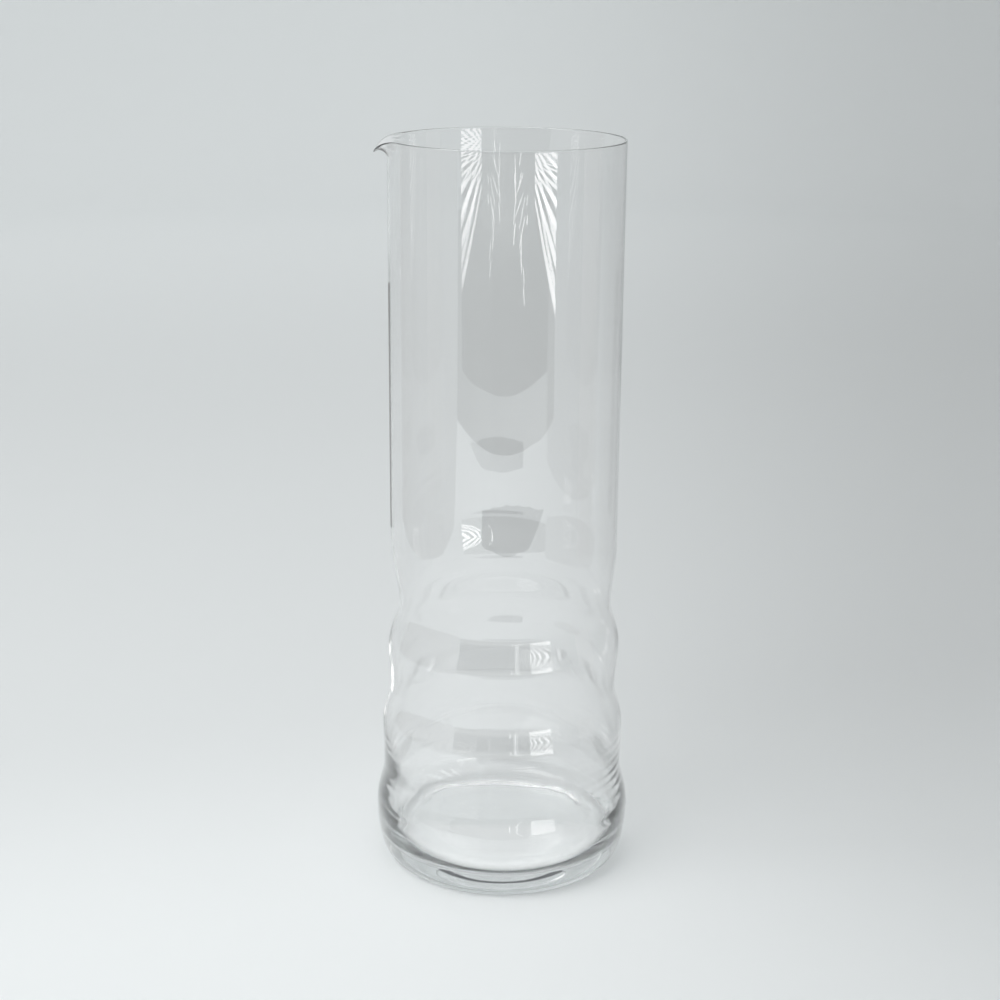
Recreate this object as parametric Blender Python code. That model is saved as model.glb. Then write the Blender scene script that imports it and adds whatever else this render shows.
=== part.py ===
"""Mouth-blown clear glass cocktail pitcher, in metres, +Z up.

The origin is the centre of the standing ring, on the table. The pouring lip points to -X.
The vessel is one gather of glass: a straight thin tube, three soft waves that widen towards
the foot, a thick base with a pushed-up floor, and a small lip rolled out of the rim.
"""
import math

import bmesh
import bpy

# The straight upper tube and its rim
HEIGHT = 0.2500
TUBE_RADIUS = 0.03875
WALL = 0.0010

# The waves, from the widest point of the foot upwards: how far each one stands out of the tube's line
FOOT_HEIGHT = 0.0187
WAVE_PITCH = 0.0295
SHOULDER_RISE = 0.0220
FOOT_SWELL = 0.0056
LOWER_WAIST_SWELL = 0.0030
MIDDLE_WAVE_SWELL = 0.0033
MIDDLE_WAIST_SWELL = 0.00035
UPPER_WAVE_SWELL = 0.0013
UPPER_WAIST_NIP = 0.00215

# The heavy base: how far above the foot the wall starts to thicken, how thick it gets, and the raised floor
WALL_GROWTH_RISE = 0.0220
WALL_GROWTH_POWER = 1.45
FOOT_WALL = 0.00235
FLOOR_THICKNESS = 0.0075
FLOOR_CORNER = 0.0046
PLATEAU_SLOPE = 0.0088
PLATEAU_RISE = 0.00105

# The underside: a flat standing ring, tucked in from the foot, round a shallow recess
FOOT_TUCK = 0.0050
STAND_RING_WIDTH = 0.0034
RECESS_SLOPE = 0.0053
RECESS_DEPTH = 0.0006

# The pouring lip: a short stretch of the rim rolled outwards and a little down
LIP_LENGTH = 0.0062
LIP_BEND = math.radians(142.0)
LIP_HALF_WIDTH = 0.0180
LIP_POINT = 1.5
LIP_ANGLE = math.pi

# Fineness of the mesh
COLUMNS = 72
CROWDING = 0.55
TUBE_STEPS = 3
LIP_STEPS = 6
RIM_STEPS = 6
WAVE_STEPS = 4
CORNER_STEPS = 5
DISC_STEPS = 3
MERGE_DISTANCE = 1e-6
SHARP_ANGLE = math.radians(50.0)


def clear_scene():
    for old in list(bpy.data.objects):
        bpy.data.objects.remove(old, do_unlink=True)


def turning_curve(stations, steps):
    """A smooth line that turns round at every station: the first value swings as the second runs."""
    points = [stations[0]]
    for (swing_a, run_a), (swing_b, run_b) in zip(stations, stations[1:]):
        for step in range(1, steps + 1):
            share = step / steps
            ease = (1.0 - math.cos(math.pi * share)) / 2.0
            points.append((swing_a + (swing_b - swing_a) * ease, run_a + (run_b - run_a) * share))
    return points


def level_curve(stations, steps):
    """The same line lying down: the height swings as the radius runs."""
    swapped = [(height, radius) for radius, height in stations]
    return [(radius, height) for height, radius in turning_curve(swapped, steps)]


def rounded_corner(upright, level, steps):
    """A quarter round that leaves one point upright and arrives at the other one level."""
    points = []
    for step in range(1, steps + 1):
        turn = math.pi / 2.0 * step / steps
        radius = level[0] + (upright[0] - level[0]) * math.cos(turn)
        height = upright[1] + (level[1] - upright[1]) * math.sin(turn)
        points.append((radius, height))
    return points


def tube_side(radius, shoulder_height):
    """One face of the straight tube, from the edge of the rim down to the waves."""
    rim_edge = HEIGHT - WALL / 2.0
    lip_root = HEIGHT - LIP_LENGTH
    points = []
    for step in range(LIP_STEPS):
        points.append((radius, rim_edge + (lip_root - rim_edge) * step / LIP_STEPS))
    for step in range(TUBE_STEPS):
        points.append((radius, lip_root + (shoulder_height - lip_root) * step / TUBE_STEPS))
    return points


def wave_stations():
    """Radius and height where the outside turns, from the shoulder down to the foot."""
    swells = [0.0, -UPPER_WAIST_NIP, UPPER_WAVE_SWELL, MIDDLE_WAIST_SWELL,
              MIDDLE_WAVE_SWELL, LOWER_WAIST_SWELL, FOOT_SWELL]
    heights = [FOOT_HEIGHT + WAVE_PITCH / 2.0 * turn for turn in range(5, -1, -1)]
    heights.insert(0, heights[0] + SHOULDER_RISE)
    return [(TUBE_RADIUS + swell, height) for swell, height in zip(swells, heights)]


def wall_at(height):
    """Thickness of the wall: thin in the tube, growing evenly over the lowest waves towards the foot."""
    share = 1.0 - (height - FOOT_HEIGHT) / WALL_GROWTH_RISE
    return WALL + (FOOT_WALL - WALL) * max(share, 0.0) ** WALL_GROWTH_POWER


def outer_side():
    """The outside from the rim's edge, down over the waves and under to the axis."""
    stations = wave_stations()
    shoulder, foot = stations[0], stations[-1]
    stand = (foot[0] - FOOT_TUCK, 0.0)
    ring = (stand[0] - STAND_RING_WIDTH, 0.0)
    recess = (ring[0] - RECESS_SLOPE, RECESS_DEPTH)
    points = tube_side(*shoulder)
    points += turning_curve(stations, WAVE_STEPS)
    points += rounded_corner(foot, stand, CORNER_STEPS)
    return points + level_curve([ring, recess], DISC_STEPS) + [(0.0, RECESS_DEPTH)]


def inner_side():
    """The inside from the rim's edge, down at the wall's distance and over the raised floor to the axis."""
    stations = wave_stations()
    outside = tube_side(*stations[0]) + turning_curve(stations, WAVE_STEPS)
    points = [(radius - wall_at(height), height) for radius, height in outside]
    foot = points[-1]
    trough = (foot[0] - FLOOR_CORNER, FLOOR_THICKNESS)
    plateau = (trough[0] - PLATEAU_SLOPE, FLOOR_THICKNESS + PLATEAU_RISE)
    points += rounded_corner(foot, trough, CORNER_STEPS)
    return points + level_curve([trough, plateau], DISC_STEPS)[1:] + [(0.0, plateau[1])]


def rim_round():
    """The fire-polished edge, a half round from the inner face over to the outer one."""
    points = []
    for step in range(1, RIM_STEPS):
        turn = math.pi * step / RIM_STEPS
        radius = TUBE_RADIUS - WALL / 2.0 - WALL / 2.0 * math.cos(turn)
        points.append((radius, HEIGHT - WALL / 2.0 + WALL / 2.0 * math.sin(turn)))
    return points


def turn_profile(bm):
    """Spin the whole section, bore and outside in one line, round the axis."""
    section = list(reversed(inner_side())) + rim_round() + outer_side()
    verts = [bm.verts.new((radius, 0.0, height)) for radius, height in section]
    edges = [bm.edges.new(pair) for pair in zip(verts, verts[1:])]
    bmesh.ops.spin(bm, geom=verts + edges, cent=(0.0, 0.0, 0.0), axis=(0.0, 0.0, 1.0),
                   angle=2.0 * math.pi, steps=COLUMNS, use_duplicate=False)
    bmesh.ops.remove_doubles(bm, verts=bm.verts, dist=MERGE_DISTANCE)


def shape_lip(bm):
    """Draw the columns together towards the lip, and roll the rim there over a round bar."""
    middle = TUBE_RADIUS - WALL / 2.0
    lip_root = HEIGHT - LIP_LENGTH
    for vert in bm.verts:
        radius = math.hypot(vert.co.x, vert.co.y)
        height = vert.co.z
        spread = math.remainder(math.atan2(vert.co.y, vert.co.x) - LIP_ANGLE, 2.0 * math.pi)
        spread -= CROWDING * math.sin(spread)
        reach = min(abs(spread) * TUBE_RADIUS / LIP_HALF_WIDTH, 1.0)
        bend = LIP_BEND * math.cos(math.pi / 2.0 * reach) ** LIP_POINT
        if height > lip_root and reach < 1.0:
            bar = LIP_LENGTH / bend
            turn = (height - lip_root) / bar
            off = radius - middle
            radius = middle + bar - (bar - off) * math.cos(turn)
            height = lip_root + (bar - off) * math.sin(turn)
        angle = LIP_ANGLE + spread
        vert.co = (radius * math.cos(angle), radius * math.sin(angle), height)


def clear_glass():
    material = bpy.data.materials.new("clear_soda_lime_glass")
    material.use_nodes = True
    shader = material.node_tree.nodes["Principled BSDF"]
    shader.inputs["Base Color"].default_value = (0.93, 0.97, 0.97, 1.0)
    shader.inputs["Metallic"].default_value = 0.0
    shader.inputs["Roughness"].default_value = 0.02
    shader.inputs["IOR"].default_value = 1.52
    shader.inputs["Transmission Weight"].default_value = 1.0
    return material


def build_pitcher_body():
    bm = bmesh.new()
    turn_profile(bm)
    shape_lip(bm)
    bmesh.ops.recalc_face_normals(bm, faces=bm.faces)
    mesh = bpy.data.meshes.new("pitcher_body")
    bm.to_mesh(mesh)
    bm.free()
    mesh.shade_smooth()
    mesh.set_sharp_from_angle(angle=SHARP_ANGLE)
    mesh.materials.append(clear_glass())
    body = bpy.data.objects.new("pitcher_body", mesh)
    bpy.context.scene.collection.objects.link(body)
    return body


clear_scene()
build_pitcher_body()
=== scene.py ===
# %% [markdown]
# # A mouth-blown glass cocktail pitcher
# The real pitcher is one gather of clear glass: a tall thin tube, three soft waves that widen towards
# the foot, a heavy base with a pushed-up floor, and a small pouring lip rolled out of the hot rim.
# This lesson loads the measured solid, models the same glass finely enough for light to bend well in it,
# gives it a glass finish, and sets it on plain pale paper among things for it to mirror.

# %% Load the measured frame
import math

import bpy
from mathutils import Matrix, Vector


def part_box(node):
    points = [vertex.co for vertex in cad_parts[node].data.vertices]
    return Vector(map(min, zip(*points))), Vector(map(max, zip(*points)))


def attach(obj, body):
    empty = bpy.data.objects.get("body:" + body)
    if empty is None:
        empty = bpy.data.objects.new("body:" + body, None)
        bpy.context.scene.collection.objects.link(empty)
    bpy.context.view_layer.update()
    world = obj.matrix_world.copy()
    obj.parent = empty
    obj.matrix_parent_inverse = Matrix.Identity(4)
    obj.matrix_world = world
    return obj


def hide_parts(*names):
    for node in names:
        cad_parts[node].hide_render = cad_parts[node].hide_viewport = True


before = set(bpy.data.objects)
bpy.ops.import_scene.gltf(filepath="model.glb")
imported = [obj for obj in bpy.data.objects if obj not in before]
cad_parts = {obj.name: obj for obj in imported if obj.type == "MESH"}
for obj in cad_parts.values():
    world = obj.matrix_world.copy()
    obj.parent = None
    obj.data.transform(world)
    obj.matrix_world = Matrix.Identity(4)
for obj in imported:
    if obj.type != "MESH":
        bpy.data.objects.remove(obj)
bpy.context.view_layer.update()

MM = 0.001
body_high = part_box("pitcher_body")[1]
HEIGHT = body_high.z
FOOT_RADIUS = body_high.x
print(f"pitcher {HEIGHT / MM:.1f} mm tall, foot radius {FOOT_RADIUS / MM:.2f} mm")

# %% [markdown]
# ## The section
# A glassblower's tube is round because it turns all the time, so one line drawn from the axis, over the
# floor, up the bore, round the rim, down the outside and under the foot holds nearly all of the shape.
# The waves are cosine swings between the places where the wall turns. They could be a hand-drawn curve,
# but named swells and walls can be measured on the glass and changed one by one.
# The wall thickens evenly towards the base: light that goes through a steady wedge shifts, but keeps
# its shapes, so the round floor still looks round through the front.

# %% Sizes of the section
WALL = 1.0 * MM
RIM_WALL = 0.60 * MM
RIM_TAPER = 78.0 * MM
FOOT_LEVEL = 18.7 * MM
WAVE_PITCH = 29.5 * MM
SHOULDER_RISE = 22.0 * MM
# How far the wall stands out of the tube's line where it turns, from the shoulder down to the foot
SWELLS = [swell * MM for swell in (0.0, -2.15, 1.3, 0.35, 3.3, 3.0, 5.6)]
TUBE_RADIUS = FOOT_RADIUS - SWELLS[-1]
BASE_WALL = 2.1 * MM
WALL_GROWS_FROM = 40.7 * MM
WALL_GROWTH = 1.47
BORE_FOOT = 21.6 * MM
FLOOR_THICKNESS = 7.46 * MM
FLOOR_CORNER = 4.64 * MM
PLATEAU_SLOPE = 8.8 * MM
PLATEAU_RISE = 1.05 * MM
FOOT_TUCK = 5.17 * MM
FOOT_FULLNESS = 2.18
STAND_RING_WIDTH = 3.4 * MM
RECESS_SLOPE = 5.3 * MM
RECESS_DEPTH = 0.64 * MM
LIP_LENGTH = 6.2 * MM
WAVE_STEPS = 10
BASE_WAVE_STEPS = 40
TUBE_STEPS = 22
LIP_STEPS = 16
CORNER_STEPS = 24
DISC_STEPS = 16
RIM_STEPS = 12
print(f"tube {2.0 * TUBE_RADIUS / MM:.1f} mm across, waves {WAVE_PITCH / MM:.1f} mm apart")

# %% Lines of the section
def swing(stations, steps):
    """Points on a smooth line that turns round at every station: the radius swings as the height runs."""
    points = [stations[0]]
    for (radius_a, height_a), (radius_b, height_b) in zip(stations, stations[1:]):
        for step in range(1, steps + 1):
            share = step / steps
            ease = (1.0 - math.cos(math.pi * share)) / 2.0
            radius = radius_a + (radius_b - radius_a) * ease
            points.append((radius, height_a + (height_b - height_a) * share))
    return points


def level_swing(stations, steps):
    """The same line lying down: the height swings as the radius runs."""
    turned = [(height, radius) for radius, height in stations]
    return [(radius, height) for height, radius in swing(turned, steps)]


def quarter_round(upright, level, steps, fullness=2.0):
    """A corner from an upright line into a level one: a fullness of 2 is round, more is fuller."""
    points = []
    for step in range(1, steps + 1):
        turn = math.pi / 2.0 * step / steps
        inwards = 1.0 - max(math.cos(turn), 0.0) ** (2.0 / fullness)
        downwards = math.sin(turn) ** (2.0 / fullness)
        points.append((upright[0] + (level[0] - upright[0]) * inwards,
                       upright[1] + (level[1] - upright[1]) * downwards))
    return points


def wall_at(height):
    """Thickness of the wall: thinnest at the rim, thin in the tube, growing from the lower waves down."""
    share = (WALL_GROWS_FROM - height) / (WALL_GROWS_FROM - BORE_FOOT)
    drawn = (height - HEIGHT + RIM_TAPER) / RIM_TAPER
    thick = WALL + (BASE_WALL - WALL) * min(max(share, 0.0), 1.0) ** WALL_GROWTH
    return thick + (RIM_WALL - WALL) * min(max(drawn, 0.0), 1.0)


print(f"wall {wall_at(HEIGHT) / MM:.2f} mm at the rim and {wall_at(BORE_FOOT) / MM:.2f} mm at the foot")

# %% The outside and the bore
turn_heights = [FOOT_LEVEL + WAVE_PITCH / 2.0 * turn for turn in range(5, -1, -1)]
turn_heights.insert(0, turn_heights[0] + SHOULDER_RISE)
outer_turns = [(TUBE_RADIUS + swell, height) for swell, height in zip(SWELLS, turn_heights)]
shoulder, foot = outer_turns[0], outer_turns[-1]
stand = (foot[0] - FOOT_TUCK, 0.0)


def outer_wall():
    """Down the outside, from the edge of the rim to the flat that the pitcher stands on."""
    edge = HEIGHT - RIM_WALL / 2.0
    root = HEIGHT - LIP_LENGTH
    points = [(shoulder[0], edge + (root - edge) * step / LIP_STEPS) for step in range(LIP_STEPS)]
    run = shoulder[1] - root
    points += [(shoulder[0], root + run * step / TUBE_STEPS) for step in range(TUBE_STEPS)]
    points += swing(outer_turns[:5], WAVE_STEPS) + swing(outer_turns[4:], BASE_WAVE_STEPS)[1:]
    return points + quarter_round(foot, stand, CORNER_STEPS, FOOT_FULLNESS)


def underside():
    """The flat standing ring, then the shallow recess inside it."""
    ring = (stand[0] - STAND_RING_WIDTH, 0.0)
    recess = (ring[0] - RECESS_SLOPE, RECESS_DEPTH)
    return level_swing([ring, recess], DISC_STEPS) + [(0.0, RECESS_DEPTH)]


def bore():
    """Down the inside at the wall's distance, over the trough and the raised floor to the axis."""
    down = [point for point in outer_wall() if point[1] >= BORE_FOOT]
    points = [(radius - wall_at(height), height) for radius, height in down]
    trough = (points[-1][0] - FLOOR_CORNER, FLOOR_THICKNESS)
    plateau = (trough[0] - PLATEAU_SLOPE, FLOOR_THICKNESS + PLATEAU_RISE)
    points += quarter_round(points[-1], trough, CORNER_STEPS)
    return points + level_swing([trough, plateau], DISC_STEPS)[1:] + [(0.0, plateau[1])]


def rim_round():
    """The fire-polished edge, a half round from the bore over to the outside."""
    points = []
    for step in range(1, RIM_STEPS):
        turn = math.pi * step / RIM_STEPS
        radius = TUBE_RADIUS - RIM_WALL / 2.0 - RIM_WALL / 2.0 * math.cos(turn)
        points.append((radius, HEIGHT - RIM_WALL / 2.0 + RIM_WALL / 2.0 * math.sin(turn)))
    return points


bore_line = bore()
section = list(reversed(bore_line)) + rim_round() + outer_wall() + underside()
print(f"section of {len(section)} points, {len(bore_line)} of them in the bore")

# %% [markdown]
# ## The turned glass
# By hand one would draw the section point by point with Extrude and turn it with Spin, the way the
# gather itself is turned. A Screw modifier would do the same, but Spin leaves a plain mesh at once.
# Spin starts and ends on the same line and both ends sit on the axis, so doubles are merged there.
# The points of the bore are put in a group before the spin, to find that face again afterwards.

# %% Draw the section and spin it
COLUMNS = 216
MERGE_DISTANCE = 0.001 * MM


def deselect_all():
    """Nothing stays selected or active, so that the next operator touches only the new piece."""
    bpy.ops.object.select_all(action="DESELECT")
    bpy.context.view_layer.objects.active = None


def draw_line(name, points):
    """A new object that holds one chain of edges through the points, which lie in the XZ plane."""
    deselect_all()
    bpy.ops.mesh.primitive_plane_add(size=MM, location=(0.0, 0.0, 0.0))
    line = bpy.context.object
    line.name = name
    line.data.name = name
    bpy.ops.object.mode_set(mode="EDIT")
    bpy.ops.mesh.select_mode(type="VERT")
    bpy.ops.mesh.select_all(action="SELECT")
    bpy.ops.mesh.merge(type="CENTER")
    bpy.ops.transform.translate(value=(points[0][0], 0.0, points[0][1]))
    for (radius_a, height_a), (radius_b, height_b) in zip(points, points[1:]):
        move = (radius_b - radius_a, 0.0, height_b - height_a)
        bpy.ops.mesh.extrude_vertices_move(TRANSFORM_OT_translate={"value": move})
    bpy.ops.object.mode_set(mode="OBJECT")
    return line


def spin_line(line, columns):
    """Turn the open line once round the axis, close the seam and point the faces outwards."""
    bpy.ops.object.mode_set(mode="EDIT")
    bpy.ops.mesh.select_all(action="SELECT")
    bpy.ops.mesh.spin(steps=columns, angle=2.0 * math.pi, center=(0.0, 0.0, 0.0), axis=(0.0, 0.0, 1.0))
    bpy.ops.mesh.select_all(action="SELECT")
    bpy.ops.mesh.remove_doubles(threshold=MERGE_DISTANCE)
    bpy.ops.mesh.normals_make_consistent(inside=False)
    bpy.ops.object.mode_set(mode="OBJECT")
    bpy.ops.object.shade_smooth()
    return line


pitcher = draw_line("pitcher_glass", section)
bore_face = pitcher.vertex_groups.new(name="bore_face")
bore_face.add(list(range(len(bore_line))), 1.0, "REPLACE")
spin_line(pitcher, COLUMNS)
print(f"turned glass: {len(pitcher.data.vertices)} points, {len(pitcher.data.polygons)} faces")

# %% [markdown]
# ## The hand of the blower
# Hot glass sags a little while it turns. The bore sits slightly off the middle of the base, so that one
# side of the foot is thicker, and the upper waist leans a hair to one side. The jacks, the maker's steel
# tongs, leave faint rings low in the bore, deepest at its two sides. Sculpting would do it by eye; shifts
# and a wave that ease in with the height do the same with numbers that can be read.

# %% Sag the bore and lean the waist
BORE_SHIFT = Vector((0.51, 0.69, 0.0)) * MM
BORE_SHIFT_FROM = 52.0 * MM
BORE_SHIFT_RUN = 32.0 * MM
WAIST_SHIFT = Vector((0.65, 0.0, 0.0)) * MM
WAIST_SHIFT_RUN = 16.0 * MM
TURN_MARK_DEPTH = 0.035 * MM
TURN_MARK_PITCH = 3.4 * MM
TURN_MARKS_FROM, TURN_MARKS_TO = 20.0 * MM, 50.0 * MM
SIDE_FOCUS = 6


def eased(share):
    """A share that is held between 0 and 1 and starts and ends gently."""
    held = min(max(share, 0.0), 1.0)
    return held * held * (3.0 - 2.0 * held)


def turn_mark(height):
    """The faint rings that the jacks leave in the bore, fading out at both ends of their run."""
    share = (height - TURN_MARKS_FROM) / (TURN_MARKS_TO - TURN_MARKS_FROM)
    fade = math.sin(math.pi * min(max(share, 0.0), 1.0))
    return TURN_MARK_DEPTH * fade * math.sin(2.0 * math.pi * height / TURN_MARK_PITCH)


def sag(glass):
    """Press the turn marks into the bore, shift it in the base and lean the waist."""
    waist_height = outer_turns[1][1]
    for vertex in glass.data.vertices:
        height = vertex.co.z
        if any(member.group == bore_face.index for member in vertex.groups):
            outwards = Vector((vertex.co.x, vertex.co.y, 0.0)).normalized()
            vertex.co -= outwards * turn_mark(height) * outwards.x ** SIDE_FOCUS
            vertex.co += BORE_SHIFT * eased((BORE_SHIFT_FROM - height) / BORE_SHIFT_RUN)
        lean = (height - waist_height) / WAIST_SHIFT_RUN
        vertex.co += WAIST_SHIFT * math.exp(-lean * lean)


sag(pitcher)
print(f"bore shifted by {BORE_SHIFT.length / MM:.2f} mm at the floor")

# %% [markdown]
# ## The pouring lip
# The lip is a short stretch of the rim, softened in the flame and rolled outwards over a rod. Pulling
# the rim with proportional editing would thin the wall, so each point of that stretch is carried round
# the rod instead: both faces keep their distance, as they do in the real glass.

# %% Roll the lip
LIP_BEND = math.radians(142.0)
LIP_HALF_WIDTH = 18.0 * MM
LIP_POINT = 1.5
LIP_ANGLE = math.pi
CROWDING = 0.4
LEAST_BEND = 1e-4


def roll_lip(glass):
    """Draw the columns together towards the lip and roll the rim there over a round rod."""
    middle = TUBE_RADIUS - RIM_WALL / 2.0
    root = HEIGHT - LIP_LENGTH
    for vertex in glass.data.vertices:
        radius = math.hypot(vertex.co.x, vertex.co.y)
        height = vertex.co.z
        spread = math.remainder(math.atan2(vertex.co.y, vertex.co.x) - LIP_ANGLE, 2.0 * math.pi)
        spread -= CROWDING * math.sin(spread)
        reach = min(abs(spread) * TUBE_RADIUS / LIP_HALF_WIDTH, 1.0)
        bend = LIP_BEND * math.cos(math.pi / 2.0 * reach) ** LIP_POINT
        if height > root and bend > LEAST_BEND:
            rod = LIP_LENGTH / bend
            turn = (height - root) / rod
            off = radius - middle
            radius = middle + rod - (rod - off) * math.cos(turn)
            height = root + (rod - off) * math.sin(turn)
        angle = LIP_ANGLE + spread
        vertex.co = (radius * math.cos(angle), radius * math.sin(angle), height)


roll_lip(pitcher)
lip_tip = min(vertex.co.x for vertex in pitcher.data.vertices if vertex.co.z > HEIGHT - 2.0 * LIP_LENGTH)
print(f"lip reaches {(-lip_tip - TUBE_RADIUS) / MM:.2f} mm out of the tube")

# %% [markdown]
# ## Clear soda-lime glass
# Table glass is soda-lime: it bends light by about 1.52 and is polished by its own fire, so it is
# mirror-smooth, with a faint long ripple left by the blowing. This pitcher mirrors more strongly than
# that value gives, so its index is raised a little and a clear coat adds to the mirror.
# A thick base drinks a little light, which an absorbing volume does by the length of the path.
# The ripple is a bump on the surface, a few hundredths of a millimetre deep and centimetres long.

# %% Helpers for materials
def linear(hex_colour):
    """A colour written as sRGB hex, in the linear values that the shaders take."""
    parts = [int(hex_colour[place : place + 2], 16) / 255.0 for place in (1, 3, 5)]
    return tuple(c / 12.92 if c <= 0.04045 else ((c + 0.055) / 1.055) ** 2.4 for c in parts) + (1.0,)


def add_node(tree, kind, sockets=None, links=None, **settings):
    """One node with its settings, its socket values and the links into it."""
    node = tree.nodes.new(kind)
    for name, value in settings.items():
        setattr(node, name, value)
    for name, value in (sockets or {}).items():
        node.inputs[name].default_value = value
    for name, source in (links or {}).items():
        tree.links.new(source, node.inputs[name])
    return node


def new_material(name):
    """A material with an empty node tree."""
    material = bpy.data.materials.new(name)
    material.use_nodes = True
    material.node_tree.nodes.clear()
    return material


print(f"mid grey, #808080, is {linear('#808080')[0]:.3f} in linear light")

# %% The glass
RIPPLE_LENGTH = 22.0 * MM
RIPPLE_DEPTH = 0.03 * MM
RIPPLE_STRETCH = 0.6
GLASS_INDEX = 1.6
GLASS_TINT, TINT_DENSITY = "#C9D2D2", 5.0


def soda_lime_glass():
    """Fire-polished glass: clear and mirror-smooth, faintly rippled, a little grey where it is thick."""
    material = new_material("soda_lime_glass")
    tree = material.node_tree
    place = add_node(tree, "ShaderNodeTexCoord")
    drawn = add_node(tree, "ShaderNodeMapping", {"Scale": (1.0, 1.0, RIPPLE_STRETCH)},
                     {"Vector": place.outputs["Object"]})
    ripple = add_node(tree, "ShaderNodeTexNoise", {"Scale": 1.0 / RIPPLE_LENGTH, "Detail": 1.0},
                      {"Vector": drawn.outputs["Vector"]})
    wavy = add_node(tree, "ShaderNodeBump", {"Strength": 1.0, "Distance": RIPPLE_DEPTH},
                    {"Height": ripple.outputs["Fac"]})
    surface = add_node(tree, "ShaderNodeBsdfPrincipled", {
        "Base Color": (1.0, 1.0, 1.0, 1.0),
        "Roughness": 0.0,
        "IOR": GLASS_INDEX,
        "Transmission Weight": 1.0,
        "Coat Weight": 1.0,
        "Coat Roughness": 0.0,
    }, {"Normal": wavy.outputs["Normal"]})
    depth = add_node(tree, "ShaderNodeVolumeAbsorption", {
        "Color": linear(GLASS_TINT), "Density": TINT_DENSITY})
    add_node(tree, "ShaderNodeOutputMaterial", links={
        "Surface": surface.outputs["BSDF"], "Volume": depth.outputs["Volume"]})
    return material


pitcher.data.materials.clear()
pitcher.data.materials.append(soda_lime_glass())
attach(pitcher, "root")
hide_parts("pitcher_body")
print("glass finish:", pitcher.data.materials[0].name)

# %% [markdown]
# ## The paper
# The pitcher stands on matt pale paper that runs up in a soft curve all round, so that every side has the
# same plain ground. The floor lies a hair under the standing ring, which keeps the two faces apart.
# Painted shade makes the paper a touch greyer away from the light, to the right and again behind the foot,
# in wide slopes, with a touch of painted light far behind.
# A heavy glass base also gathers light on the paper below it. Traced light seldom finds that soft glow,
# so it is laid on the paper as a faint shine under the front of the base.

# %% Floor and sweep
FLOOR_RADIUS = 1.70
COVE_RADIUS = 0.55
COVE_STEPS = 24
SWEEP_COLUMNS = 96
WALL_TOP = 1.3
FLOOR_GAP = 0.2 * MM


def paper_sweep():
    """One sheet: a level floor, a round cove and an upright wall, turned round the pitcher."""
    line = [(0.0, -FLOOR_GAP), (FLOOR_RADIUS, -FLOOR_GAP)]
    for step in range(1, COVE_STEPS + 1):
        turn = math.pi / 2.0 * step / COVE_STEPS
        line.append((FLOOR_RADIUS + COVE_RADIUS * math.sin(turn),
                     COVE_RADIUS * (1.0 - math.cos(turn)) - FLOOR_GAP))
    line.append((FLOOR_RADIUS + COVE_RADIUS, WALL_TOP))
    return spin_line(draw_line("paper_sweep", line), SWEEP_COLUMNS)


sweep = paper_sweep()
print(f"paper {2.0 * (FLOOR_RADIUS + COVE_RADIUS):.2f} m across")

# %% Its soft slopes of painted shade
PAPER = "#EAEDED"
# Painted shade: shares of the paper's colour, greyer to the right and behind the foot, a touch lighter far
# behind
PAINTED_SHADE_ACROSS = [(-0.06, 1.00), (0.28, 0.775)]
SPREAD_FROM = 0.69
FRONT_SPREAD = 4.0
PAINTED_SHADE_ALONG = [(-0.05, 1.00), (0.14, 0.89), (0.60, 0.89), (1.55, 1.03)]
ALONG_TURN = math.radians(-14.0)
RAMP_FROM, RAMP_TO = -0.5, 2.5


def painted_shade_ramp(tree, value, stops):
    """A painted shade that eases from stop to stop, each one a place and a share of the paper's tone."""
    share = add_node(tree, "ShaderNodeMapRange", {"From Min": RAMP_FROM, "From Max": RAMP_TO},
                     {"Value": value})
    ramp = add_node(tree, "ShaderNodeValToRGB", links={"Fac": share.outputs["Result"]})
    ramp.color_ramp.interpolation = "EASE"
    while len(ramp.color_ramp.elements) < len(stops):
        ramp.color_ramp.elements.new(1.0)
    for stop, (place, tone) in zip(ramp.color_ramp.elements, stops):
        stop.position = (place - RAMP_FROM) / (RAMP_TO - RAMP_FROM)
        stop.color = (tone, tone, tone, 1.0)
    return ramp.outputs["Color"]


def paper_with_painted_shade(tree, place, axes):
    """The paper's colour with painted shade: it dims to the right, fanning out with the distance, and
    again behind, with a touch of painted light far behind.
    """
    ahead = add_node(tree, "ShaderNodeMath", {1: -FRONT_SPREAD}, {0: axes.outputs["Y"]},
                     operation="MULTIPLY")
    depth = add_node(tree, "ShaderNodeMath", links={0: axes.outputs["Y"], 1: ahead.outputs["Value"]},
                     operation="MAXIMUM")
    reach = add_node(tree, "ShaderNodeMath", {1: SPREAD_FROM}, {0: depth.outputs["Value"]},
                     operation="ADD")
    spread = add_node(tree, "ShaderNodeMath", links={0: axes.outputs["X"], 1: reach.outputs["Value"]},
                      operation="DIVIDE")
    turned = add_node(tree, "ShaderNodeMapping", {"Rotation": (0.0, 0.0, ALONG_TURN)},
                      {"Vector": place.outputs["Object"]})
    along = add_node(tree, "ShaderNodeSeparateXYZ", links={"Vector": turned.outputs["Vector"]})
    # Both slopes of painted shade multiply the paper's colour
    dim = add_node(tree, "ShaderNodeMix", {0: 1.0}, {
        6: painted_shade_ramp(tree, spread.outputs["Value"], PAINTED_SHADE_ACROSS),
        7: painted_shade_ramp(tree, along.outputs["Y"], PAINTED_SHADE_ALONG),
    }, data_type="RGBA", blend_type="MULTIPLY")
    return add_node(tree, "ShaderNodeMix", {0: 1.0, 7: linear(PAPER)}, {6: dim.outputs[2]},
                    data_type="RGBA", blend_type="MULTIPLY").outputs[2]


print(f"paper dims to {PAINTED_SHADE_ACROSS[-1][1]} at the right and {PAINTED_SHADE_ALONG[1][1]} behind")

# %% The light gathered under the base
GATHERED_RADIUS = 27.0 * MM
GATHERED_WIDTH = 9.0 * MM
GATHERED_FROM, GATHERED_TO = -5.0 * MM, -22.0 * MM
GATHERED_LIGHT = 0.14


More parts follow.
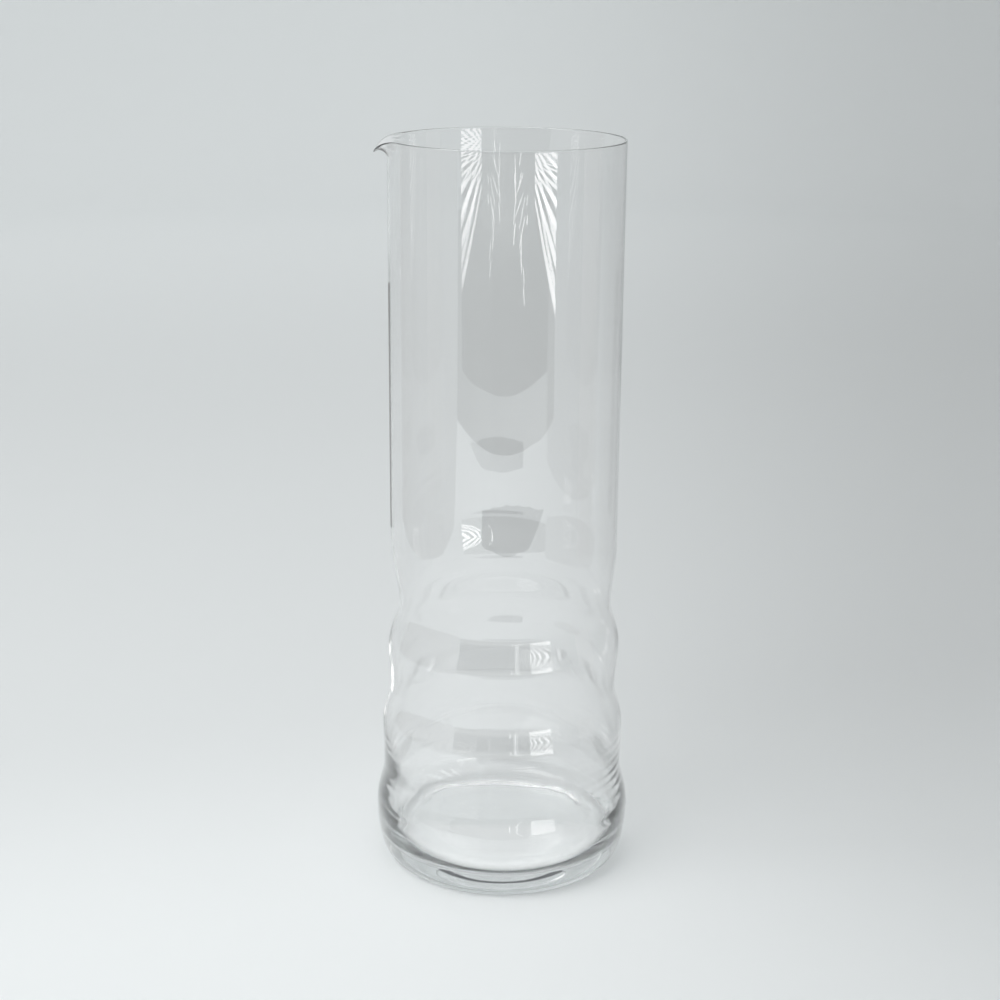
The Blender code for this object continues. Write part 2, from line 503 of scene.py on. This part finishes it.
def gathered_light(tree, place, axes):
    """How strongly the paper shines: a soft ring below the base, in its front half alone."""
    ring = add_node(tree, "ShaderNodeVectorMath", links={0: place.outputs["Object"]}, operation="LENGTH")
    off = add_node(tree, "ShaderNodeMath", {1: GATHERED_RADIUS}, {0: ring.outputs["Value"]},
                   operation="SUBTRACT")
    near = add_node(tree, "ShaderNodeMath", links={0: off.outputs["Value"]}, operation="ABSOLUTE")
    soft = add_node(tree, "ShaderNodeMapRange", {"From Min": GATHERED_WIDTH, "From Max": 0.0},
                    {"Value": near.outputs["Value"]}, interpolation_type="SMOOTHSTEP")
    ahead = add_node(tree, "ShaderNodeMapRange", {"From Min": GATHERED_FROM, "From Max": GATHERED_TO},
                     {"Value": axes.outputs["Y"]}, interpolation_type="SMOOTHSTEP")
    both = add_node(tree, "ShaderNodeMath", links={0: soft.outputs["Result"], 1: ahead.outputs["Result"]},
                    operation="MULTIPLY")
    return add_node(tree, "ShaderNodeMath", {1: GATHERED_LIGHT}, {0: both.outputs["Value"]},
                    operation="MULTIPLY").outputs["Value"]


def matt_paper_with_painted_light():
    """Uncoated paper: no shine of its own, a smooth felt face whose grain is too fine to see, with painted
    shade in its colour and a painted glow below the base.
    """
    material = new_material("matt_paper_with_painted_light")
    tree = material.node_tree
    place = add_node(tree, "ShaderNodeTexCoord")
    axes = add_node(tree, "ShaderNodeSeparateXYZ", links={"Vector": place.outputs["Object"]})
    matt = add_node(tree, "ShaderNodeBsdfPrincipled", {
        "Roughness": 0.9,
        "Specular IOR Level": 0.0,
        "Emission Color": (1.0, 1.0, 1.0, 1.0),
    }, {
        "Base Color": paper_with_painted_shade(tree, place, axes),
        "Emission Strength": gathered_light(tree, place, axes),
    })
    add_node(tree, "ShaderNodeOutputMaterial", links={"Surface": matt.outputs["BSDF"]})
    return material


sweep.data.materials.append(matt_paper_with_painted_light())
print(f"gathered light in a ring of {2.0 * GATHERED_RADIUS / MM:.0f} mm")

# %% [markdown]
# ## What the glass mirrors
# Clear glass is seen by what it mirrors. In front, the paper ends at the edge of a dark polished table,
# which runs back to a low chest in a dim room. Beside that is a bright slatted window, which the table
# mirrors in its turn, and at the sides stand lighter tables and dark shelves. A modelled room would also
# do, but it would light the paper and show behind the pitcher. So these are flat cards that glow only in
# light that has been mirrored at least once, and the ground stays plain from every side.
# The glass mirrors what lies in a direction, so places are written as compass angles from the pitcher.

# %% A glow that only a mirror shows
HALF_A_BOUNCE = 0.5


def mirrored_only(material, colour=None, strength=1.0, painted=None):
    """A glow that only mirrored light finds; all other light goes straight through."""
    tree = material.node_tree
    path = add_node(tree, "ShaderNodeLightPath")
    seen = add_node(tree, "ShaderNodeMath", {1: HALF_A_BOUNCE}, {0: path.outputs["Glossy Depth"]},
                    operation="GREATER_THAN")
    glow = add_node(tree, "ShaderNodeEmission", {"Strength": strength})
    if painted is None:
        glow.inputs["Color"].default_value = linear(colour)
    else:
        tree.links.new(painted, glow.inputs["Color"])
    clear = add_node(tree, "ShaderNodeBsdfTransparent")
    both = add_node(tree, "ShaderNodeMixShader", links={
        0: seen.outputs["Value"], 1: clear.outputs["BSDF"], 2: glow.outputs["Emission"]})
    add_node(tree, "ShaderNodeOutputMaterial", links={"Surface": both.outputs["Shader"]})
    return material


print("cards glow where the depth of mirrored light is over", HALF_A_BOUNCE)

# %% Cards and their places
def card(name, corners, material):
    """A flat card with four corners, given in order round its edge."""
    deselect_all()
    bpy.ops.mesh.primitive_plane_add(size=1.0, location=(0.0, 0.0, 0.0))
    piece = bpy.context.object
    piece.name = name
    piece.data.name = name
    ends = [corners[0], corners[1], corners[3], corners[2]]
    for vertex, place in zip(piece.data.vertices, ends):
        vertex.co = place
    piece.data.materials.append(material)
    piece.visible_camera = False
    piece.visible_diffuse = False
    piece.visible_shadow = False
    return piece


def at_angle(degrees, distance, height=0.0):
    """The place at an angle to the right of straight ahead, as far from the axis as given."""
    turn = math.radians(degrees)
    return (distance * math.sin(turn), -distance * math.cos(turn), height)


def in_row(degrees, row, height=0.0):
    """The place at an angle on a straight row in front of the pitcher."""
    return at_angle(degrees, row / math.cos(math.radians(degrees)), height)


def upright(name, start, end, top, material):
    """An upright card over the floor line from one place to another."""
    return card(name, [start, end, (end[0], end[1], top), (start[0], start[1], top)], material)


print("30 degrees to the right, 1 m off:", [round(part, 3) for part in at_angle(30.0, 1.0)])

# %% The dim room and the polished table
DIM_ROOM = "#262726"
DIM_CHEST = "#969795"
DIM_TABLE = "#7A7B79"
ROOM_LEFT, WINDOW_LEFT, WINDOW_RIGHT = -46.5, 26.0, 47.5
EDGE_REACH, EDGE_FLARE = 0.595, 0.085
EDGE_STEPS = 12
ROOM_ROW = 1.35
ROOM_TOP = 0.70
CHEST_TOP = 0.15
dim_room = mirrored_only(new_material("dim_room"), DIM_ROOM)
dim_chest = mirrored_only(new_material("dim_chest"), DIM_CHEST)
dim_table = mirrored_only(new_material("dim_table"), DIM_TABLE)


def paper_edge(angle):
    """The place where the paper ends: straight ahead it is nearest, and at the sides it swings away."""
    return at_angle(angle, EDGE_REACH + EDGE_FLARE * (angle / ROOM_LEFT) ** 2)


for step in range(EDGE_STEPS):
    left = ROOM_LEFT + (WINDOW_LEFT - ROOM_LEFT) * step / EDGE_STEPS
    right = ROOM_LEFT + (WINDOW_LEFT - ROOM_LEFT) * (step + 1) / EDGE_STEPS
    card("dark_table", [paper_edge(left), paper_edge(right),
                        in_row(right, ROOM_ROW), in_row(left, ROOM_ROW)], dim_table)
upright("chest_in_front", in_row(ROOM_LEFT, ROOM_ROW), in_row(WINDOW_LEFT, ROOM_ROW),
        CHEST_TOP, dim_chest)
upright("room_in_front", in_row(ROOM_LEFT, ROOM_ROW, CHEST_TOP), in_row(WINDOW_LEFT, ROOM_ROW, CHEST_TOP),
        ROOM_TOP, dim_room)
print(f"room from {ROOM_LEFT} to {WINDOW_LEFT} degrees, up to {ROOM_TOP} m tall")

# %% [markdown]
# ## The slatted window
# The slats run together towards the left, as along a slanting wall, and the polished table mirrors them
# as long streaks. Modelled slats would break up into dots at this size. A formula stays clean: every slat
# keeps one slope from the point where they meet, and each slope is a fixed ratio of the next, so the sine
# of the slope's logarithm gives the slats.

# %% Slats in the window, streaks in the table
WINDOW_REACH = 1.50
SLATS_SEEN_FROM = Vector((0.0, 0.0, 0.225))
SLATS_MEET_ANGLE = math.radians(18.0)
SLATS_MEET_RISE = math.radians(-5.3)
SLAT_RATIO = 1.5
SLAT_SHADE, SLAT_LIGHT = -0.1, 0.8
STEEPEST_SLAT, SLAT_FADE = 0.25, 0.03
STREAK_GLOW, WINDOW_GLOW = 5.0, 2.0
GLOW_CHANGE = 0.05


def slatted_window():
    """Bright slats that run together on the left, upwards in the window and downwards in the table."""
    material = new_material("daylight_through_slats")
    tree = material.node_tree

    def calculate(operation, *terms):
        sockets = {place: term for place, term in enumerate(terms) if isinstance(term, (int, float))}
        links = {place: term for place, term in enumerate(terms) if not isinstance(term, (int, float))}
        return add_node(tree, "ShaderNodeMath", sockets, links, operation=operation).outputs["Value"]

    place = add_node(tree, "ShaderNodeTexCoord")
    off = add_node(tree, "ShaderNodeVectorMath", {1: SLATS_SEEN_FROM}, {0: place.outputs["Object"]},
                   operation="SUBTRACT")
    axes = add_node(tree, "ShaderNodeSeparateXYZ", links={"Vector": off.outputs["Vector"]})
    ahead = calculate("MULTIPLY", axes.outputs["Y"], -1.0)
    angle = calculate("ARCTAN2", axes.outputs["X"], ahead)
    reach = calculate("SQRT", calculate("ADD", calculate("MULTIPLY", ahead, ahead),
                                        calculate("MULTIPLY", axes.outputs["X"], axes.outputs["X"])))
    rise = calculate("ARCTAN2", axes.outputs["Z"], reach)
    slope = calculate("DIVIDE", calculate("SUBTRACT", rise, SLATS_MEET_RISE),
                      calculate("SUBTRACT", angle, SLATS_MEET_ANGLE))
    count = calculate("LOGARITHM", calculate("ABSOLUTE", slope), SLAT_RATIO)
    slats = calculate("SINE", calculate("MULTIPLY", count, 2.0 * math.pi))
    bright = add_node(tree, "ShaderNodeMapRange", {"From Min": SLAT_SHADE, "From Max": SLAT_LIGHT},
                      {"Value": slats}, interpolation_type="SMOOTHSTEP").outputs["Result"]
    lit = add_node(tree, "ShaderNodeMapRange", {
        "From Min": -STEEPEST_SLAT, "From Max": SLAT_FADE - STEEPEST_SLAT},
        {"Value": slope}).outputs["Result"]
    level = add_node(tree, "ShaderNodeMapRange", {
        "From Min": SLATS_MEET_RISE, "From Max": SLATS_MEET_RISE + GLOW_CHANGE,
        "To Min": STREAK_GLOW, "To Max": WINDOW_GLOW}, {"Value": rise}).outputs["Result"]
    sun = add_node(tree, "ShaderNodeVectorMath", {0: (1.0, 1.0, 1.0)}, {"Scale": level}, operation="SCALE")
    tone = add_node(tree, "ShaderNodeMix", {6: linear(DIM_TABLE)},
                    {0: calculate("MULTIPLY", bright, lit), 7: sun.outputs["Vector"]}, data_type="RGBA")
    return mirrored_only(material, painted=tone.outputs[2])


daylight = slatted_window()
window_left, window_right = at_angle(WINDOW_LEFT, WINDOW_REACH), at_angle(WINDOW_RIGHT, WINDOW_REACH)
card("streaks_in_table", [paper_edge(WINDOW_LEFT), paper_edge(WINDOW_RIGHT), window_right, window_left],
     daylight)
upright("window_in_front", window_left, window_right, ROOM_TOP, daylight)
print(f"slatted window up to {WINDOW_RIGHT} degrees to the right")

# %% [markdown]
# ## Daylight past the curtain
# Beside the window a curtain lets through a few upright lines of light, and the polished table breaks
# their image into short slanting strokes. A bump on the table would make strokes too, but not where they
# are wanted, so each stroke is a narrow card, listed: the compass angle and the rise of its two
# ends in degrees, as they are seen from the upper tube.

# %% Lines in the curtain, strokes in the table
GAPS = [(10.9, 11.3), (12.3, 13.0), (14.1, 14.4)]
GAP_REACH, GAP_FOOT, GAP_TOP = 1.34, 0.12, 0.60
STROKE_WIDTH = 0.7
STROKE_REACH = 0.95
STROKES = [
    (12.5, -5.4, 11.2, -6.0), (6.5, -5.5, 8.0, -6.9), (14.5, -6.4, 7.5, -7.5),
    (16.5, -7.5, 11.5, -9.0), (18.8, -7.4, 18.4, -7.9), (7.5, -7.8, 6.2, -8.8),
    (13.0, -9.1, 13.8, -10.2), (15.5, -10.8, 17.0, -11.7),
]
gap_light = mirrored_only(new_material("daylight_in_a_gap"), "#FFFFFF", WINDOW_GLOW)
stroke_light = mirrored_only(new_material("daylight_in_strokes"), "#FFFFFF", STREAK_GLOW)


def stroke_end(angle, rise):
    """Where a line of sight from the upper tube, at this angle and rise, meets the stroke's card."""
    fall = STROKE_REACH * math.tan(math.radians(rise))
    return at_angle(angle, STROKE_REACH, SLATS_SEEN_FROM.z + fall)


for left, right in GAPS:
    upright("gap_in_curtain", at_angle(left, GAP_REACH, GAP_FOOT), at_angle(right, GAP_REACH, GAP_FOOT),
            GAP_TOP, gap_light)
for angle_a, rise_a, angle_b, rise_b in STROKES:
    card("stroke_in_table", [stroke_end(angle_a, rise_a), stroke_end(angle_a + STROKE_WIDTH, rise_a),
                             stroke_end(angle_b + STROKE_WIDTH, rise_b), stroke_end(angle_b, rise_b)],
         stroke_light)
print(f"{len(GAPS)} lines in the curtain, {len(STROKES)} strokes in the table")

# %% [markdown]
# ## Tables and shelves at the sides
# The two edges of the tube mirror what stands beside it at a grazing angle: pale tables. The thick base
# sends light out sideways and upwards, so shelves with dark boards stand further off on both sides. They
# give the base its darker bands, and the gaps between the boards give it fine bright lines.

# %% Side tables
DIM_SIDE = "#C4C6C6"
SIDE_TOP = 0.25
LEFT_CORNER, LEFT_END = (-0.33, -0.29, 0.0), (-0.37, 0.20, 0.0)
RIGHT_CORNER, RIGHT_END = (0.37, -0.105, 0.0), (0.375, 0.02, 0.0)
dim_side = mirrored_only(new_material("dim_side"), DIM_SIDE)
upright("table_by_the_room", paper_edge(ROOM_LEFT), LEFT_CORNER, SIDE_TOP, dim_side)
upright("table_at_left", LEFT_CORNER, LEFT_END, SIDE_TOP, dim_side)
upright("table_at_right", RIGHT_CORNER, RIGHT_END, SIDE_TOP, dim_side)
print(f"side tables {-LEFT_END[0]:.2f} m to the left and {RIGHT_END[0]:.2f} m to the right")

# %% Shelves
DIM_WALL = "#2E3032"
BOARD_PITCH = 0.32
BOARD_EDGE, GAP_EDGE = 0.55, 0.85
WAVE_RATE = 20.0
SHELVES_REACH = 1.2
SHELVES_FRONT, SHELVES_BACK = -0.9, 0.6
SHELVES_FOOT, SHELVES_TOP = 0.30, 1.2


def shelved_wall():
    """Dark upright boards with light gaps; at a scale of 1 the wave turns WAVE_RATE radians a metre."""
    material = new_material("dark_shelves")
    tree = material.node_tree
    place = add_node(tree, "ShaderNodeTexCoord")
    boards = add_node(tree, "ShaderNodeTexWave", {"Scale": 2.0 * math.pi / WAVE_RATE / BOARD_PITCH},
                      {"Vector": place.outputs["Object"]}, bands_direction="Y")
    gap = add_node(tree, "ShaderNodeMapRange", {"From Min": BOARD_EDGE, "From Max": GAP_EDGE},
                   {"Value": boards.outputs["Fac"]})
    tone = add_node(tree, "ShaderNodeMix", {6: linear(DIM_WALL), 7: linear("#FFFFFF")},
                    {0: gap.outputs["Result"]}, data_type="RGBA")
    return mirrored_only(material, painted=tone.outputs[2])


dim_wall = shelved_wall()
for side in (-SHELVES_REACH, SHELVES_REACH):
    upright("dim_wall", (side, SHELVES_FRONT, SHELVES_FOOT), (side, SHELVES_BACK, SHELVES_FOOT),
            SHELVES_TOP, dim_wall)
print(f"shelves {SHELVES_REACH} m to both sides, a board every {BOARD_PITCH} m")

# %% [markdown]
# ## Light and dark on the paper
# The low waves and the base mirror the paper close behind the pitcher, where daylight falls in spots and
# the glass throws a thin dark line beside a bright one. The front of the upper wave mirrors the paper on
# the near side, where a dark shape lies. They are cards too, a millimetre over the paper, so they show in
# the glass alone.

# %% Tones and places of the spots and arcs
LIFT = 1.0 * MM
# An angle in degrees, then the near and the far edge there in metres
DARK_SPOT = [(-21.0, 0.413, 0.475), (-10.0, 0.406, 0.482), (2.0, 0.400, 0.487),
             (13.0, 0.406, 0.486), (24.0, 0.413, 0.483), (38.0, 0.472, 0.475)]
DARK_ARC_FROM, DARK_ARC_STEP, DARK_ARC_PIECES = 118.0, 13.0, 5
DARK_ARC_NEAR, DARK_ARC_FAR = 0.0575, 0.0600
LIGHT_ARC_FROM, LIGHT_ARC_TO = 184.0, 205.0
LIGHT_ARC_NEAR, LIGHT_ARC_FAR = 0.058, 0.068
STRIP_FROM, STRIP_TO = -170.0, -153.0
STRIP_NEAR, STRIP_FAR = 0.38, 1.15
LIGHT_SPOT = [(-0.085, 0.195), (-0.130, 0.195), (-0.120, 0.165), (-0.085, 0.165)]
SMALL_LIGHT_SPOT = [(-0.075, 0.145), (-0.115, 0.140), (-0.110, 0.125), (-0.080, 0.125)]
SPOT_GLOW = 1.3
spot_light = mirrored_only(new_material("daylight_on_paper"), "#FFFFFF", SPOT_GLOW)
dim_strip = mirrored_only(new_material("dim_strip"), "#A0A2A2")
dim_arc = mirrored_only(new_material("dim_arc"), "#5C5E62")
dim_spot = mirrored_only(new_material("dim_spot"), "#484A4C")
print(f"dark spot {DARK_SPOT[0][1]:.2f} m in front, dark arc {DARK_ARC_NEAR / MM:.1f} mm behind")

# %% Lay the spots and arcs
def on_paper(name, from_angle, to_angle, near, far, material):
    """A card that lies on the paper, between two angles and two distances from the axis."""
    return card(name, [at_angle(from_angle, near, LIFT), at_angle(to_angle, near, LIFT),
                       at_angle(to_angle, far, LIFT), at_angle(from_angle, far, LIFT)], material)


card("light_spot", [(x, y, LIFT) for x, y in LIGHT_SPOT], spot_light)
card("small_light_spot", [(x, y, LIFT) for x, y in SMALL_LIGHT_SPOT], spot_light)
for piece in range(DARK_ARC_PIECES):
    start = DARK_ARC_FROM + DARK_ARC_STEP * piece
    on_paper("dark_arc_behind", start + DARK_ARC_STEP, start, DARK_ARC_NEAR, DARK_ARC_FAR, dim_arc)
for (left, near_left, far_left), (right, near_right, far_right) in zip(DARK_SPOT, DARK_SPOT[1:]):
    near_side = [at_angle(left, near_left, LIFT), at_angle(right, near_right, LIFT)]
    far_side = [at_angle(right, far_right, LIFT), at_angle(left, far_left, LIFT)]
    card("dark_spot_in_front", near_side + far_side, dim_spot)
on_paper("light_arc_behind", LIGHT_ARC_FROM, LIGHT_ARC_TO, LIGHT_ARC_NEAR, LIGHT_ARC_FAR, spot_light)
on_paper("dim_strip_at_left", STRIP_FROM, STRIP_TO, STRIP_NEAR, STRIP_FAR, dim_strip)
print(f"dark arc over {DARK_ARC_STEP * DARK_ARC_PIECES:.0f} degrees behind the foot")

# %% [markdown]
# ## Light
# Daylight comes softly from all round, and a little more from a window to the left, which leaves the
# right side of the ground dimmer, as does the shade painted into the paper. The level is plain: a colour
# renders about as it is written.

# %% World and lamp
SKY, SKY_STRENGTH = "#F3F4F5", 0.96
LAMP_PLACE = Vector((-0.6, -0.45, 0.9))
LAMP_SIZE, LAMP_WATTS = 0.8, 4.0
world = bpy.data.worlds.new("studio_daylight")
world.use_nodes = True
world.node_tree.nodes.clear()
sky = add_node(world.node_tree, "ShaderNodeBackground", {"Color": linear(SKY), "Strength": SKY_STRENGTH})
add_node(world.node_tree, "ShaderNodeOutputWorld", links={"Surface": sky.outputs["Background"]})
bpy.context.scene.world = world
lamp_data = bpy.data.lights.new("window_at_left", "AREA")
lamp_data.shape = "SQUARE"
lamp_data.size = LAMP_SIZE
lamp_data.energy = LAMP_WATTS
lamp = bpy.data.objects.new("window_at_left", lamp_data)
bpy.context.scene.collection.objects.link(lamp)
lamp.location = LAMP_PLACE
lamp.rotation_euler = (-LAMP_PLACE).to_track_quat("-Z", "Y").to_euler()
print(f"lamp {LAMP_PLACE.length:.2f} m away")

# %% [markdown]
# ## Bounces
# In a thick glass base light runs to and fro many times before it leaves. With the usual few bounces it
# would be cut off there and the base would go black, so the path may be long, and mirrors stay sharp.

# %% Long light paths
LONG_PATH = 32
PAPER_BOUNCES = 4
cycles = bpy.context.scene.cycles
cycles.max_bounces = LONG_PATH
cycles.transmission_bounces = LONG_PATH
cycles.glossy_bounces = LONG_PATH
cycles.diffuse_bounces = PAPER_BOUNCES
cycles.blur_glossy = 0.0
print("light paths of up to", cycles.max_bounces, "bounces")

# %% [markdown]
# ## Camera
# The picture looks a little down on the pitcher from about 60 cm away, with a hair of roll.

# %% Camera and view
CAMERA_DISTANCE = 0.5978
CAMERA_HEIGHT = 0.3101
CAMERA_SIDE = -1.39 * MM
CAMERA_PITCH = math.radians(16.905)
CAMERA_ROLL = math.radians(0.448)
LENS, SENSOR = 66.02, 36.0
camera_data = bpy.data.cameras.new("photo_camera")
camera_data.sensor_width = SENSOR
camera_data.lens = LENS
camera_data.clip_start = 10.0 * MM
camera = bpy.data.objects.new("photo_camera", camera_data)
bpy.context.scene.collection.objects.link(camera)
turn = Matrix.Rotation(math.pi / 2.0 - CAMERA_PITCH, 4, "X") @ Matrix.Rotation(CAMERA_ROLL, 4, "Z")
camera.matrix_world = Matrix.Translation((CAMERA_SIDE, -CAMERA_DISTANCE, CAMERA_HEIGHT)) @ turn
bpy.context.scene.camera = camera
bpy.context.scene.view_settings.view_transform = "Standard"
print(f"camera {camera.location.length:.3f} m from the foot")
